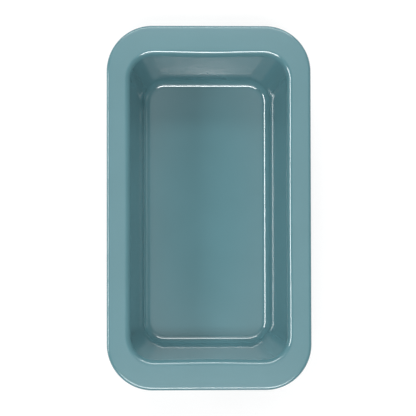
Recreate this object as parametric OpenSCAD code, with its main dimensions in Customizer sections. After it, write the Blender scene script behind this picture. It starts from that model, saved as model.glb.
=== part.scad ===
// Loaf pan drawn from one steel sheet. The sheet's edge is curled round a stiffening wire,
// and a non-stick film covers each face of the sheet.
//
// The pan's section is a path along the sheet's food face: floor fillet, wall, rim fillet,
// flange and curl. Each stop on the path is a ring, a rectangle with round corners, and each
// layer of the pan is the space between two depths behind that face.

/* [Pan] */
// Overall width across the rim
rim_w = 145.4; // [130:0.2:170]
// Overall length across the rim
rim_l = 259.2; // [240:0.2:300]
// Overall height
pan_h = 60; // [40:1:80]
// Corner radius of the rim's outer edge, seen from above
rim_corner_r = 32.7; // [24:0.1:36]

/* [Walls] */
// Slope of the walls away from the vertical, in degrees
wall_draft = 8.8; // [3:0.1:14]
// Corner radius of the walls, seen from above
wall_corner_r = 17; // [12:0.5:22]
// Radius of the bend between wall and flange, on the food face
rim_bend_r = 4.1; // [2:0.1:6]
// Radius of the bend between floor and wall, on the food face
floor_bend_r = 6; // [2:0.1:10]

/* [Flange] */
// Width of the side flanges, from the bend to the rim's outer edge
side_flange_w = 12.9; // [8:0.1:18]
// Width of the end flanges, from the bend to the rim's outer edge
end_flange_w = 17.6; // [8:0.1:24]
// Fall of the flange from the bend out to the curl
flange_fall = 0.2; // [0.1:0.05:1]

/* [Sheet and wire] */
// Thickness of the steel sheet
sheet_t = 0.6; // [0.4:0.05:0.8]
// Thickness of the non-stick film
film_t = 0.05; // [0.03:0.01:0.08]
// Diameter of the wire in the rim
wire_d = 2.3; // [1.8:0.1:3]
// Play between the wire and the curled sheet
wire_play = 0.2; // [0.18:0.01:0.3]
// Turn of the curl, in degrees
curl_turn = 300; // [240:5:300]
// Gap between the two ends of the wire
wire_gap = 1; // [0.5:0.1:3]

/* [Hidden] */

STEEL = [0.72, 0.73, 0.74];
WIRE_STEEL = [0.55, 0.56, 0.57];
FILM = [0.40, 0.57, 0.61];

corner_steps = 12;
bend_steps = 6;
curl_steps = 15;
wire_fn = 48;

// Levels of the food face
floor_z = film_t + sheet_t;
top_z = pan_h - film_t;

// Curl: radius of the food face round the wire, and the path that the wire's centre follows
curl_r = wire_d / 2 + wire_play + sheet_t;
wire_x = rim_w / 2 - film_t - curl_r;
wire_y = rim_l / 2 - film_t - curl_r;
wire_z = top_z - flange_fall - curl_r;
wire_corner_r = rim_corner_r - film_t - curl_r;

// Where the flange starts, at the top of the rim bend
mouth_x = rim_w / 2 - side_flange_w;
mouth_y = rim_l / 2 - end_flange_w;
mouth_corner_r = wall_corner_r + rim_bend_r * cos(wall_draft);

// Wall: its two ends, and how far the floor's edge lies inside the mouth
wall_top_z = top_z - rim_bend_r * (1 - sin(wall_draft));
wall_foot_z = floor_z + floor_bend_r * (1 - sin(wall_draft));
wall_run = (wall_top_z - wall_foot_z) * tan(wall_draft);
floor_inset = wall_run + (rim_bend_r + floor_bend_r) * cos(wall_draft);
floor_corner_r = wall_corner_r - floor_bend_r * cos(wall_draft);

// One stop on the path: half sizes and corner radius of the ring, its height, and the
// direction from the food face into the sheet, as an angle from horizontal
function stop(half_x, half_y, corner_r, z, into) = [half_x, half_y, corner_r, z, into];

function floor_bend_stop(into) =
    let (out = floor_bend_r * cos(into))
    stop(mouth_x - floor_inset + out, mouth_y - floor_inset + out, floor_corner_r + out,
        floor_z + floor_bend_r * (1 + sin(into)), into);

function rim_bend_stop(into) =
    let (out = -rim_bend_r * cos(into))
    stop(mouth_x + out, mouth_y + out, mouth_corner_r + out,
        top_z - rim_bend_r * (1 + sin(into)), into);

function curl_stop(into) =
    let (out = -curl_r * cos(into))
    stop(wire_x + out, wire_y + out, wire_corner_r + out, wire_z - curl_r * sin(into), into);

PATH = [
    for (i = [0:bend_steps]) floor_bend_stop(-90 + i * (90 - wall_draft) / bend_steps),
    for (i = [0:bend_steps]) rim_bend_stop(-wall_draft - i * (90 - wall_draft) / bend_steps),
    for (i = [0:curl_steps]) curl_stop(-90 - i * curl_turn / curl_steps)
];

// Points of one ring, at a depth behind the food face
function ring(s, depth) =
    let (out = depth * cos(s[4]), r = s[2] + out, x = s[0] + out - r, y = s[1] + out - r)
    [for (corner = [0:3], i = [0:corner_steps])
        let (a = 90 * corner + 90 * i / corner_steps)
        [
            (corner == 0 || corner == 3 ? x : -x) + r * cos(a),
            (corner < 2 ? y : -y) + r * sin(a),
            s[3] + depth * sin(s[4])
        ]
    ];

// Two triangles between ring i and the next one. The second half of the rings runs back
// along the path, so its diagonals turn the other way and neighbouring layers share theirs.
function band_pair(i, j, n, turned) =
    let (a = i * n + j, b = i * n + (j + 1) % n, c = a + n, d = b + n)
    turned ? [[a, c, b], [b, c, d]] : [[a, d, b], [a, c, d]];

// A layer of the pan between two depths behind the food face
module layer(near, far) {
    stops = len(PATH);
    n = 4 * (corner_steps + 1);
    rings = 2 * stops;
    points = [
        for (s = PATH) each ring(s, far),
        for (k = [stops - 1:-1:0]) each ring(PATH[k], near)
    ];
    bands = [
        for (i = [0:rings - 2], j = [0:n - 1]) each band_pair(i, j, n, i >= stops)
    ];
    under = [for (j = [0:n - 1]) j];
    over = [for (j = [n - 1:-1:0]) (rings - 1) * n + j];
    polyhedron(points, concat(bands, [under, over]));
}

// Straight length of wire between two places along X
module wire_length(from, to) {
    translate([from, 0, 0])
        rotate([0, 90, 0])
            cylinder(h = to - from, d = wire_d, $fn = wire_fn);
}

module wire_corner() {
    rotate_extrude(angle = 90, $fn = 4 * wire_fn)
        translate([wire_corner_r, 0])
            circle(d = wire_d, $fn = wire_fn);
}

// Steel sheet: floor, walls, flange and curl in one piece
module pan_shell() {
    color(STEEL) layer(0, sheet_t);
}

// Wire in the curl, open at the middle of one long side
module rim_wire() {
    end_run = wire_x - wire_corner_r;
    side_run = wire_y - wire_corner_r;
    color(WIRE_STEEL)
        translate([0, 0, wire_z]) {
            for (side = [0, 180])
                rotate(side) {
                    translate([0, wire_y, 0]) wire_length(-end_run, end_run);
                    translate([end_run, side_run, 0]) wire_corner();
                    translate([-end_run, side_run, 0]) rotate(90) wire_corner();
                }
            rotate(90) {
                translate([0, wire_x, 0]) wire_length(-side_run, side_run);
                translate([0, -wire_x, 0]) wire_length(-side_run, -wire_gap / 2);
                translate([0, -wire_x, 0]) wire_length(wire_gap / 2, side_run);
            }
        }
}

// Film on the food face, round the curl to the sheet's edge
module inner_coating() {
    color(FILM) layer(-film_t, 0);
}

// Film on the back face, from the underside to the inside of the curl
module outer_coating() {
    color(FILM) layer(sheet_t, sheet_t + film_t);
}

pan_shell();
rim_wire();
inner_coating();
outer_coating();
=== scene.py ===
"""A glossy blue-green loaf pan, seen from almost straight above on a white floor.

The pan is drawn from one steel sheet, with a film on each face and a wire curled into its rim.
Its section is a path along the food face: floor, floor bend, wall, rim bend, flange and curl.
Each stop on the path is a ring, a rectangle with round corners, and each layer of the pan
fills the space between two depths behind that face. The path is the CAD model's own, with
more steps in every bend.
"""

import math
from collections import namedtuple

import bpy
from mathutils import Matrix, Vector


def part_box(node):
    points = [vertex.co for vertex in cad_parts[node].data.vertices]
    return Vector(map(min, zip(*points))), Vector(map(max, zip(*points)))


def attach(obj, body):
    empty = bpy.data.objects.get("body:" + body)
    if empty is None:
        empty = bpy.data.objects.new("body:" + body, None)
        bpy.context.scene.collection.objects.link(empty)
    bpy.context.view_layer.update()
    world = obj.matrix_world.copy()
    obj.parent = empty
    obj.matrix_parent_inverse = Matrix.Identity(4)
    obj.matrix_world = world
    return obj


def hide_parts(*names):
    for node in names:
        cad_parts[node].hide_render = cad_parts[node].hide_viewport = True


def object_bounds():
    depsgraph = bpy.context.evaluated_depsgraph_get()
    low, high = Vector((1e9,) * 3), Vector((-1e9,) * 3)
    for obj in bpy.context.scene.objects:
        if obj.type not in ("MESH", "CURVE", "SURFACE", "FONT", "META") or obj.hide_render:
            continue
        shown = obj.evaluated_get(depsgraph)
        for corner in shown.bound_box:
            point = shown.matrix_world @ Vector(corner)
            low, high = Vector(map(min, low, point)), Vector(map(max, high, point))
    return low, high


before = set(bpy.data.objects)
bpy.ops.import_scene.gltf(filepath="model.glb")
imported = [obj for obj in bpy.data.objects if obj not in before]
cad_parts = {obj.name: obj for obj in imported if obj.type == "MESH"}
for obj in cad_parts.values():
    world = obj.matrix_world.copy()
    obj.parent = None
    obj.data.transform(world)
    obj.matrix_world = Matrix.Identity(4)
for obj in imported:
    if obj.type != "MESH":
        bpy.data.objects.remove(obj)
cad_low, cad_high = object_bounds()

MM = 0.001

# The pan's own dimensions, as in the CAD model.
SHEET_T = 0.6 * MM
FILM_T = 0.05 * MM
WALL_DRAFT = math.radians(8.8)
WALL_CORNER_R = 17 * MM
RIM_BEND_R = 4.1 * MM
FLOOR_BEND_R = 6 * MM
RIM_CORNER_R = 32.7 * MM
SIDE_FLANGE_W = 12.9 * MM
END_FLANGE_W = 17.6 * MM
WIRE_PLAY = 0.2 * MM
CURL_TURN = math.radians(300)

# The drawn walls spring in a little at the mouth: most at the middle of the ends, and by this
# share of it at the sides.
MOUTH_BOW = 0.55 * MM
SIDE_BOW_SHARE = 0.5

# The visual mesh: steps of its rings and path, the spacing of points along the straight sides, how
# close a supporting point stands to the end of a straight stretch, the most that this may be as a
# share of the stretch, and the angle between faces from which their edge is sharp.
CORNER_STEPS = 36
BEND_STEPS = 18
CURL_STEPS = 60
WALL_STEPS = 6
FLANGE_STEPS = 4
FLOOR_STEPS = 5
SPACING = 12 * MM
EDGE_SUPPORT = 0.5 * MM
EDGE_SHARE_LIMIT = 0.2
CREASE_ANGLE = math.radians(60)

# The studio floor: its half width in metres, and how far it lies below the pan.
FLOOR_HALF = 14.0
FLOOR_GAP = 0.2 * MM

# Light: how far the softboxes stand from the pan, the world's strength, and the ring of glow in
# it: its strength, its squeeze along Y, its middle, and the radii over which it comes up and fades
# again, all measured on the horizontal part of a direction of length 1.
LIGHT_DISTANCE = 2.2
WORLD_LIGHT = 0.1
RING_LIGHT = 0.65
RING_SQUEEZE = 0.35
RING_CENTRE = (0.035, 0.020, 0)
RING_INSIDE = (0.02, 0.065)
RING_OUTSIDE = (0.12, 0.18)

# Camera: its sensor in millimetres, where it hangs over the pan, how it is turned, and the part
# of the rim's plane in view.
SENSOR_WIDTH = 36
CAMERA_HEIGHT = 0.8
CAMERA_FOOT = (-0.030, -0.043)
CAMERA_TILT = math.radians(1.0)
CAMERA_PAN = math.radians(1.2)
CAMERA_ROLL = math.radians(-0.1)
VIEW_WIDTH = 0.2944
VIEW_CENTRE = (-0.0009, -0.0004)

# Levels and lengths that follow from the CAD boxes.
wire_low, wire_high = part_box("rim_wire")
film_low, film_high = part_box("inner_coating")
WIRE_R = (wire_high.z - wire_low.z) / 2
CURL_R = WIRE_R + WIRE_PLAY + SHEET_T
WIRE_X = wire_high.x - WIRE_R
WIRE_Y = wire_high.y - WIRE_R
WIRE_Z = (wire_low.z + wire_high.z) / 2
WIRE_CORNER_R = RIM_CORNER_R - FILM_T - CURL_R
FLOOR_Z = FILM_T + SHEET_T
TOP_Z = film_high.z - FILM_T
MOUTH_X = WIRE_X + CURL_R + FILM_T - SIDE_FLANGE_W
MOUTH_Y = WIRE_Y + CURL_R + FILM_T - END_FLANGE_W
MOUTH_CORNER_R = WALL_CORNER_R + RIM_BEND_R * math.cos(WALL_DRAFT)
WALL_TOP_Z = TOP_Z - RIM_BEND_R * (1 - math.sin(WALL_DRAFT))
WALL_FOOT_Z = FLOOR_Z + FLOOR_BEND_R * (1 - math.sin(WALL_DRAFT))
WALL_RUN = (WALL_TOP_Z - WALL_FOOT_Z) * math.tan(WALL_DRAFT)
FLOOR_INSET = WALL_RUN + (RIM_BEND_R + FLOOR_BEND_R) * math.cos(WALL_DRAFT)
FLOOR_CORNER_R = WALL_CORNER_R - FLOOR_BEND_R * math.cos(WALL_DRAFT)

# A ring on the food face: half sizes, corner radius, height, the direction into the sheet as
# an angle from horizontal, and how far its short sides spring inwards at their middle.
Stop = namedtuple("Stop", "half_x half_y corner_r z into bow", defaults=(0.0,))


def floor_bend_stop(into):
    out = FLOOR_BEND_R * math.cos(into)
    half_x = MOUTH_X - FLOOR_INSET + out
    half_y = MOUTH_Y - FLOOR_INSET + out
    z = FLOOR_Z + FLOOR_BEND_R * (1 + math.sin(into))
    return Stop(half_x, half_y, FLOOR_CORNER_R + out, z, into)


def rim_bend_stop(into):
    out = -RIM_BEND_R * math.cos(into)
    z = TOP_Z - RIM_BEND_R * (1 + math.sin(into))
    return Stop(MOUTH_X + out, MOUTH_Y + out, MOUTH_CORNER_R + out, z, into, MOUTH_BOW)


def curl_stop(into):
    out = -CURL_R * math.cos(into)
    z = WIRE_Z - CURL_R * math.sin(into)
    return Stop(WIRE_X + out, WIRE_Y + out, WIRE_CORNER_R + out, z, into)


def between(a, b, t):
    """The stop at a share t of the way from stop a to stop b."""
    return Stop(*(p + (q - p) * t for p, q in zip(a, b)))


def supported_shares(length, steps):
    """Shares along a straight stretch, in even steps that start and end close to its two ends.

    The first and the last point keep the mesh's shading flat up to the bend that follows.
    """
    edge = min(EDGE_SUPPORT / length, EDGE_SHARE_LIMIT)
    return [edge + (1 - 2 * edge) * i / steps for i in range(steps + 1)]


def section_path():
    """Every stop from the floor's flat edge to the sheet's cut edge inside the curl."""
    down = -math.pi / 2
    tilt = math.pi / 2 - WALL_DRAFT
    floor_bend = [floor_bend_stop(down + tilt * i / BEND_STEPS) for i in range(BEND_STEPS + 1)]
    rim_bend = [rim_bend_stop(-WALL_DRAFT - tilt * i / BEND_STEPS) for i in range(BEND_STEPS + 1)]
    curl = [curl_stop(down - CURL_TURN * i / CURL_STEPS) for i in range(CURL_STEPS + 1)]
    wall_shares = supported_shares((WALL_TOP_Z - WALL_FOOT_Z) / math.cos(WALL_DRAFT), WALL_STEPS)
    wall = [between(floor_bend[-1], rim_bend[0], t) for t in wall_shares]
    flange_shares = supported_shares(WIRE_X - MOUTH_X, FLANGE_STEPS)
    flange = [between(rim_bend[-1], curl[0], t) for t in flange_shares]
    return floor_bend + wall + rim_bend + flange + curl


def floor_stops(edge):
    """Rings inside the floor's flat edge, from the one nearest to it inwards."""
    insets = [EDGE_SUPPORT]
    insets += [edge.corner_r * (i + 1) / FLOOR_STEPS for i in range(FLOOR_STEPS - 1)]
    return [
        Stop(edge.half_x - w, edge.half_y - w, edge.corner_r - w, edge.z, edge.into)
        for w in insets
    ]


def ring_points(stop, depth):
    """Points round one ring at a depth behind the food face.

    Its straight sides have the same number of points on every ring, so that rings join up.
    """
    out = depth * math.cos(stop.into)
    r = stop.corner_r + out
    x = stop.half_x + out - r
    y = stop.half_y + out - r
    z = stop.z + depth * math.sin(stop.into)
    centres = [(x, y), (-x, y), (-x, -y), (x, -y)]
    points = []
    for corner, (cx, cy) in enumerate(centres):
        for i in range(CORNER_STEPS + 1):
            a = math.pi / 2 * (corner + i / CORNER_STEPS)
            points.append(Vector((cx + r * math.cos(a), cy + r * math.sin(a), z)))
        last = points[-1]
        turn = math.pi / 2 * (corner + 1)
        nx, ny = centres[(corner + 1) % 4]
        following = Vector((nx + r * math.cos(turn), ny + r * math.sin(turn), z))
        short_side = corner % 2 == 0
        run = MOUTH_X if short_side else MOUTH_Y
        shares = supported_shares(2 * run, round(2 * run / SPACING))
        sprung = stop.bow * (1 if short_side else SIDE_BOW_SHARE)
        inward = Vector((-math.cos(turn), -math.sin(turn), 0)) * sprung
        points += [last.lerp(following, t) + inward * math.sin(math.pi * t) ** 2 for t in shares]
    return points


def smooth_object(name, points, faces):
    """A new object with a smooth-shaded mesh, linked to the scene."""
    mesh = bpy.data.meshes.new(name)
    mesh.from_pydata([tuple(p) for p in points], [], faces)
    mesh.polygons.foreach_set("use_smooth", [True] * len(mesh.polygons))
    mesh.validate()
    mesh.update()
    made = bpy.data.objects.new(name, mesh)
    bpy.context.scene.collection.objects.link(made)
    return made


def layer_object(name, near, far):
    """A closed solid of the pan's shape between two depths behind the food face."""
    path = section_path()
    inside = floor_stops(path[0])[::-1]
    stops = inside + path
    rings = [ring_points(s, far) for s in stops] + [ring_points(s, near) for s in reversed(stops)]
    n = len(rings[0])
    points = [p for ring in rings for p in ring]
    faces = []
    for i in range(len(rings) - 1):
        for j in range(n):
            a = i * n + j
            b = i * n + (j + 1) % n
            faces.append((b, a, a + n, b + n))
    faces.append(tuple(range(n)))
    faces.append(tuple((len(rings) - 1) * n + j for j in reversed(range(n))))
    made = smooth_object(name, points, faces)
    sharpen_cut_edges(made)
    return made


def sharpen_cut_edges(made):
    """Marks the layer's two cut edges sharp, which is where its faces meet at a steep angle."""
    made.data.set_sharp_from_angle(angle=CREASE_ANGLE)


class NodeTree:
    """A small helper for building a material's nodes."""

    def __init__(self, name):
        self.material = bpy.data.materials.new(name)
        self.material.use_nodes = True
        self.nodes = self.material.node_tree.nodes
        self.links = self.material.node_tree.links
        self.shader = self.nodes["Principled BSDF"]
        self.place = self.nodes.new("ShaderNodeTexCoord").outputs["Object"]

    def noise(self, size, detail=2.0):
        """Noise with features of about the given size in metres, around 0.5."""
        node = self.nodes.new("ShaderNodeTexNoise")
        node.inputs["Scale"].default_value = 1 / size
        node.inputs["Detail"].default_value = detail
        self.links.new(self.place, node.inputs["Vector"])
        return node.outputs["Fac"]

    def between(self, factor, low, high):
        """A value that runs from low to high as the factor runs from 0.3 to 0.7."""
        node = self.nodes.new("ShaderNodeMapRange")
        node.inputs["From Min"].default_value = 0.3
        node.inputs["From Max"].default_value = 0.7
        node.inputs["To Min"].default_value = low
        node.inputs["To Max"].default_value = high
        self.links.new(factor, node.inputs["Value"])
        return node.outputs["Result"]

    def mix(self, factor, colour_a, colour_b):
        node = self.nodes.new("ShaderNodeMix")
        node.data_type = "RGBA"
        node.inputs["A"].default_value = (*colour_a, 1)
        node.inputs["B"].default_value = (*colour_b, 1)
        self.links.new(factor, node.inputs["Factor"])
        return node.outputs["Result"]

    def bump(self, height, distance, strength):
        node = self.nodes.new("ShaderNodeBump")
        node.inputs["Distance"].default_value = distance
        node.inputs["Strength"].default_value = strength
        self.links.new(height, node.inputs["Height"])
        self.links.new(node.outputs["Normal"], self.shader.inputs["Normal"])

    def feed(self, socket, output):
        self.links.new(output, self.shader.inputs[socket])


def tinted(colour, share):
    """A colour made lighter or darker by a share."""
    return tuple(min(1.0, c * share) for c in colour)


FILM_COLOUR = (0.108, 0.246, 0.279)
FILM_DRIFT = 0.03


def film_material():
    """Sprayed ceramic film: even colour with a slow drift, and a faint orange-peel surface."""
    tree = NodeTree("ceramic_film")
    drift = tree.between(tree.noise(45 * MM), 0, 1)
    darker = tinted(FILM_COLOUR, 1 - FILM_DRIFT)
    lighter = tinted(FILM_COLOUR, 1 + FILM_DRIFT)
    tree.feed("Base Color", tree.mix(drift, darker, lighter))
    tree.feed("Roughness", tree.between(tree.noise(20 * MM), 0.10, 0.12))
    tree.bump(tree.noise(1.6 * MM, detail=3.0), distance=0.02 * MM, strength=0.05)
    tree.shader.inputs["IOR"].default_value = 1.5
    tree.shader.inputs["Coat Weight"].default_value = 1.0
    tree.shader.inputs["Coat IOR"].default_value = 1.7
    tree.shader.inputs["Coat Roughness"].default_value = 0.09
    return tree.material


def steel_material():
    """Bare rolled steel, with fine rolling marks."""
    tree = NodeTree("sheet_steel")
    marks = tree.between(tree.noise(0.4 * MM, detail=4.0), 0, 1)
    tree.feed("Base Color", tree.mix(marks, (0.50, 0.51, 0.52), (0.60, 0.61, 0.62)))
    tree.feed("Roughness", tree.between(tree.noise(1.0 * MM), 0.28, 0.42))
    tree.bump(tree.noise(0.3 * MM, detail=4.0), distance=0.01 * MM, strength=0.3)
    tree.shader.inputs["Metallic"].default_value = 1.0
    return tree.material


def floor_material():
    """Matt pale floor that glows a little, so that it stays white without more light on the pan."""
    tree = NodeTree("white_floor")
    grain = tree.noise(400 * MM)
    tree.feed("Base Color", tree.mix(grain, (0.30, 0.30, 0.30), (0.31, 0.31, 0.31)))
    tree.shader.inputs["Roughness"].default_value = 0.8
    tree.shader.inputs["Emission Color"].default_value = (1, 1, 1, 1)
    tree.shader.inputs["Emission Strength"].default_value = 0.72
    return tree.material


def add_layers():
    """The sheet and its two films, made again with more steps, and the CAD wire in bare steel."""
    film = film_material()
    steel = steel_material()
    layers = [
        ("food_film", -FILM_T, 0.0, film, "inner_coating", "inner_film"),
        ("drawn_sheet", 0.0, SHEET_T, steel, "pan_shell", "sheet_steel"),
        ("back_film", SHEET_T, SHEET_T + FILM_T, film, "outer_coating", "outer_film"),
    ]
    for name, near, far, material, node, slot in layers:
        piece = layer_object(name, near, far)
        piece.data.materials.append(material)
        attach(piece, "root")
        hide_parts(node)
    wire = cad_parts["rim_wire"]
    wire.data.materials.clear()
    wire.data.materials.append(steel)


def add_floor():
    half = FLOOR_HALF
    corners = [(-half, -half, 0), (half, -half, 0), (half, half, 0), (-half, half, 0)]
    floor = smooth_object("studio_floor", corners, [(0, 1, 2, 3)])
    floor.location.z = cad_low.z - FLOOR_GAP
    floor.data.materials.append(floor_material())


def add_softbox(name, towards, size, power, mirrored=True):
    """An area light that faces the pan's mouth.

    It stands towards an azimuth, at a tilt from overhead. When it isn't mirrored, it lights the
    pan and the floor without showing in their reflections.
    """
    azimuth, tilt = (math.radians(a) for a in towards)
    away = Vector((
        math.sin(tilt) * math.cos(azimuth),
        math.sin(tilt) * math.sin(azimuth),
        math.cos(tilt),
    ))
    data = bpy.data.lights.new(name, "AREA")
    data.shape = "RECTANGLE"
    data.size, data.size_y = size
    data.energy = power
    light = bpy.data.objects.new(name, data)
    light.location = Vector((0, 0, TOP_Z)) + away * LIGHT_DISTANCE
    light.rotation_euler = away.to_track_quat("Z", "Y").to_euler()
    light.visible_glossy = mirrored
    bpy.context.scene.collection.objects.link(light)


def add_lights():
    """Three softboxes, two dim cards that the end walls mirror, and two unmirrored low fills."""
    add_softbox("near_box", (270, 19.2), (1.1, 0.34), 17)
    add_softbox("far_box", (90, 39), (1.85, 0.36), 13)
    add_softbox("left_box", (180, 46.5), (1.0, 0.42), 13.5)
    add_softbox("near_card", (270, 34.5), (1.6, 0.96), 3.6)
    add_softbox("far_card", (90, 25), (2.4, 0.60), 3.6)
    add_softbox("near_fill", (270, 66), (2.4, 1.0), 14, mirrored=False)
    add_softbox("far_fill", (90, 60), (2.4, 1.0), 20, mirrored=False)


def add_surroundings():
    """Dim even light from all round, with an oval ring of soft glow high over the rim."""
    world = bpy.data.worlds.new("studio")
    world.use_nodes = True
    nodes = world.node_tree.nodes
    links = world.node_tree.links
    direction = nodes.new("ShaderNodeTexCoord").outputs["Generated"]
    squeezed = nodes.new("ShaderNodeVectorMath")
    squeezed.operation = "MULTIPLY"
    squeezed.inputs[1].default_value = (1, RING_SQUEEZE, 0)
    radius = nodes.new("ShaderNodeVectorMath")
    radius.operation = "DISTANCE"
    radius.inputs[1].default_value = RING_CENTRE
    ring = nodes.new("ShaderNodeValToRGB")
    ring.color_ramp.interpolation = "EASE"
    stops = ring.color_ramp.elements
    stops[0].position, stops[1].position = RING_INSIDE[0], RING_OUTSIDE[1]
    lit = [stops.new(RING_INSIDE[1]), stops.new(RING_OUTSIDE[0])]
    for stop in stops:
        stop.color = (WORLD_LIGHT, WORLD_LIGHT, WORLD_LIGHT, 1)
    for stop in lit:
        stop.color = (RING_LIGHT, RING_LIGHT, RING_LIGHT, 1)
    links.new(direction, squeezed.inputs[0])
    links.new(squeezed.outputs["Vector"], radius.inputs[0])
    links.new(radius.outputs["Value"], ring.inputs["Fac"])
    links.new(ring.outputs["Color"], nodes["Background"].inputs["Color"])
    bpy.context.scene.world = world


def add_camera():
    """Looks down from above the pan, left of its middle and nearer its front end.

    The shift moves the middle of the picture from where the camera points to the middle of the
    part in view.
    """
    data = bpy.data.cameras.new("camera")
    data.sensor_width = SENSOR_WIDTH
    data.lens = data.sensor_width * CAMERA_HEIGHT / VIEW_WIDTH
    aim_x = CAMERA_FOOT[0] + CAMERA_HEIGHT * math.tan(CAMERA_PAN)
    aim_y = CAMERA_FOOT[1] + CAMERA_HEIGHT * math.tan(CAMERA_TILT)
    data.shift_x = (VIEW_CENTRE[0] - aim_x) / VIEW_WIDTH
    data.shift_y = (VIEW_CENTRE[1] - aim_y) / VIEW_WIDTH
    camera = bpy.data.objects.new("camera", data)
    camera.location = (*CAMERA_FOOT, TOP_Z + CAMERA_HEIGHT)
    camera.rotation_euler = (CAMERA_TILT, -CAMERA_PAN, CAMERA_ROLL)
    bpy.context.scene.collection.objects.link(camera)
    bpy.context.scene.camera = camera


add_layers()
add_floor()
add_lights()
add_surroundings()
add_camera()
bpy.context.scene.view_settings.view_transform = "Standard"
